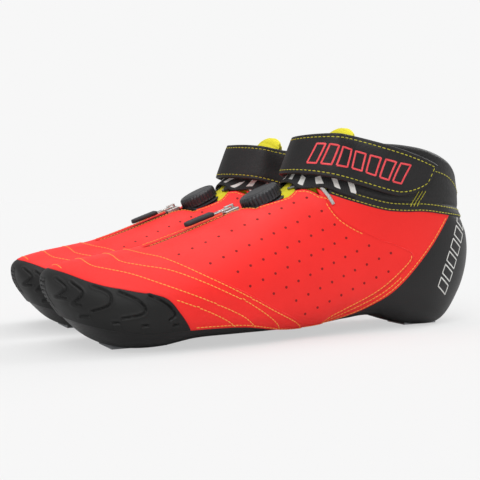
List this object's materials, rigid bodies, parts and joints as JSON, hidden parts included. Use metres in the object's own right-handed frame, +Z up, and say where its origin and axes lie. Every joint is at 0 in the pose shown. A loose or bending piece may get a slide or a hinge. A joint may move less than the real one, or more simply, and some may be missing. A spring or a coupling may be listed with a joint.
{
  "type": "speed skate boots",
  "caption": "Pair of low-cut speed skate boots with carbon shell, zipped dial-laced upper, padded collar and ankle strap, ready for two-point frames.",
  "frame": {"origin": "centre of the pair at floor level", "axes": "toes to -X, heels to +X, left boot at -Y, right boot at +Y, +Z up"},
  "size_m": [0.2871, 0.215, 0.126],
  "materials": {
    "carbon_shell": "black resin over woven fibre, satin",
    "toe_rubber": "matt moulded rubber with grooves",
    "red_microfibre": "bright red synthetic leather with yellow stitching",
    "collar_leather": "soft black synthetic leather",
    "tongue_fabric": "bright yellow padded textile",
    "lining_fabric": "black knitted lining",
    "insole_foam": "black covered foam",
    "strap_leather": "black synthetic leather with yellow edge stitching",
    "hook_tape": "hook tape",
    "loop_tape": "loop tape",
    "elastic": "woven elastic with white dashes",
    "zip_fabric": "woven tape with a nylon coil",
    "zip_metal": "polished die cast",
    "grip_rubber": "moulded",
    "dial_plastic": "dark grey moulding",
    "lace_steel": "steel",
    "guide_plastic": "black moulding",
    "mount_alloy": "bead-blasted alloy"
  },
  "bodies": {
    "left_boot": {"left_shell": "carbon_shell", "left_toe_bumper": "toe_rubber", "left_vamp": "red_microfibre", "left_quarter_outer": "red_microfibre", "left_quarter_inner": "red_microfibre", "left_heel_panel_outer": "red_microfibre", "left_heel_panel_inner": "red_microfibre", "left_collar": "collar_leather", "left_tongue": "tongue_fabric", "left_liner": "lining_fabric", "left_insole": "insole_foam", "left_strap_anchor": "strap_leather", "left_loop_patch": "loop_tape", "left_elastic_band": "elastic", "left_zip_tape": "zip_fabric", "left_dial_base": "dial_plastic", "left_lace": "lace_steel", "left_lace_guide_outer": "guide_plastic", "left_lace_guide_inner": "guide_plastic", "left_front_mount_plate": "mount_alloy", "left_heel_mount_plate": "mount_alloy"},
    "left_strap": {"left_strap_front": "strap_leather"},
    "left_flap": {"left_strap_flap": "strap_leather", "left_hook_patch": "hook_tape"},
    "left_slider": {"left_zip_slider": "zip_metal"},
    "left_puller": {"left_zip_puller": "zip_metal", "left_zip_grip": "grip_rubber"},
    "left_spool": {"left_dial_spool": "dial_plastic", "left_dial_hub": "lace_steel"},
    "left_knob": {"left_dial_knob": "dial_plastic"},
    "right_boot": {"right_shell": "carbon_shell", "right_toe_bumper": "toe_rubber", "right_vamp": "red_microfibre", "right_quarter_outer": "red_microfibre", "right_quarter_inner": "red_microfibre", "right_heel_panel_outer": "red_microfibre", "right_heel_panel_inner": "red_microfibre", "right_collar": "collar_leather", "right_tongue": "tongue_fabric", "right_liner": "lining_fabric", "right_insole": "insole_foam", "right_strap_anchor": "strap_leather", "right_loop_patch": "loop_tape", "right_elastic_band": "elastic", "right_zip_tape": "zip_fabric", "right_dial_base": "dial_plastic", "right_lace": "lace_steel", "right_lace_guide_outer": "guide_plastic", "right_lace_guide_inner": "guide_plastic", "right_front_mount_plate": "mount_alloy", "right_heel_mount_plate": "mount_alloy"},
    "right_strap": {"right_strap_front": "strap_leather"},
    "right_flap": {"right_strap_flap": "strap_leather", "right_hook_patch": "hook_tape"},
    "right_slider": {"right_zip_slider": "zip_metal"},
    "right_puller": {"right_zip_puller": "zip_metal", "right_zip_grip": "grip_rubber"},
    "right_spool": {"right_dial_spool": "dial_plastic", "right_dial_hub": "lace_steel"},
    "right_knob": {"right_dial_knob": "dial_plastic"}
  },
  "joints": [
    {"name": "left_strap_swing", "type": "hinge", "parent": "left_boot", "child": "left_strap", "pos_m": [0.03775, -0.02592, 0.10986], "axis": [-0.1621, 0.0828, -0.9833], "range_deg": [0, 65]},
    {"name": "left_flap_peel", "type": "hinge", "parent": "left_strap", "child": "left_flap", "pos_m": [0.03742, -0.08984, 0.11103], "axis": [-0.131, -0.0714, -0.9888], "range_deg": [0, 110]},
    {"name": "left_zip_slide", "type": "slide", "parent": "left_boot", "child": "left_slider", "axis": [-0.9436, 0, -0.331], "range_m": [0, 0.03]},
    {"name": "left_puller_lift", "type": "hinge", "parent": "left_slider", "child": "left_puller", "pos_m": [-0.02533, -0.0575, 0.08062], "axis": [0, 1, 0], "range_deg": [0, 100]},
    {"name": "left_dial_turn", "type": "hinge", "parent": "left_boot", "child": "left_spool", "pos_m": [-0.00115, -0.0575, 0.082], "axis": [-0.4384, 0, 0.8988], "continuous": true},
    {"name": "left_dial_lift", "type": "slide", "parent": "left_spool", "child": "left_knob", "axis": [-0.4384, 0, 0.8988], "range_m": [0, 0.0025]},
    {"name": "right_strap_swing", "type": "hinge", "parent": "right_boot", "child": "right_strap", "pos_m": [0.03775, 0.02592, 0.10986], "axis": [0.1621, 0.0828, 0.9833], "range_deg": [0, 65]},
    {"name": "right_flap_peel", "type": "hinge", "parent": "right_strap", "child": "right_flap", "pos_m": [0.03742, 0.08984, 0.11103], "axis": [0.131, -0.0714, 0.9888], "range_deg": [0, 110]},
    {"name": "right_zip_slide", "type": "slide", "parent": "right_boot", "child": "right_slider", "axis": [-0.9436, 0, -0.331], "range_m": [0, 0.03]},
    {"name": "right_puller_lift", "type": "hinge", "parent": "right_slider", "child": "right_puller", "pos_m": [-0.02533, 0.0575, 0.08062], "axis": [0, 1, 0], "range_deg": [0, 100]},
    {"name": "right_dial_turn", "type": "hinge", "parent": "right_boot", "child": "right_spool", "pos_m": [-0.00115, 0.0575, 0.082], "axis": [0.4384, 0, -0.8988], "continuous": true},
    {"name": "right_dial_lift", "type": "slide", "parent": "right_spool", "child": "right_knob", "axis": [-0.4384, 0, 0.8988], "range_m": [0, 0.0025]},
    {"name": "boots_apart", "type": "slide", "parent": "left_boot", "child": "right_boot", "axis": [0, 1, 0], "range_m": [0, 0.15]}
  ]
}
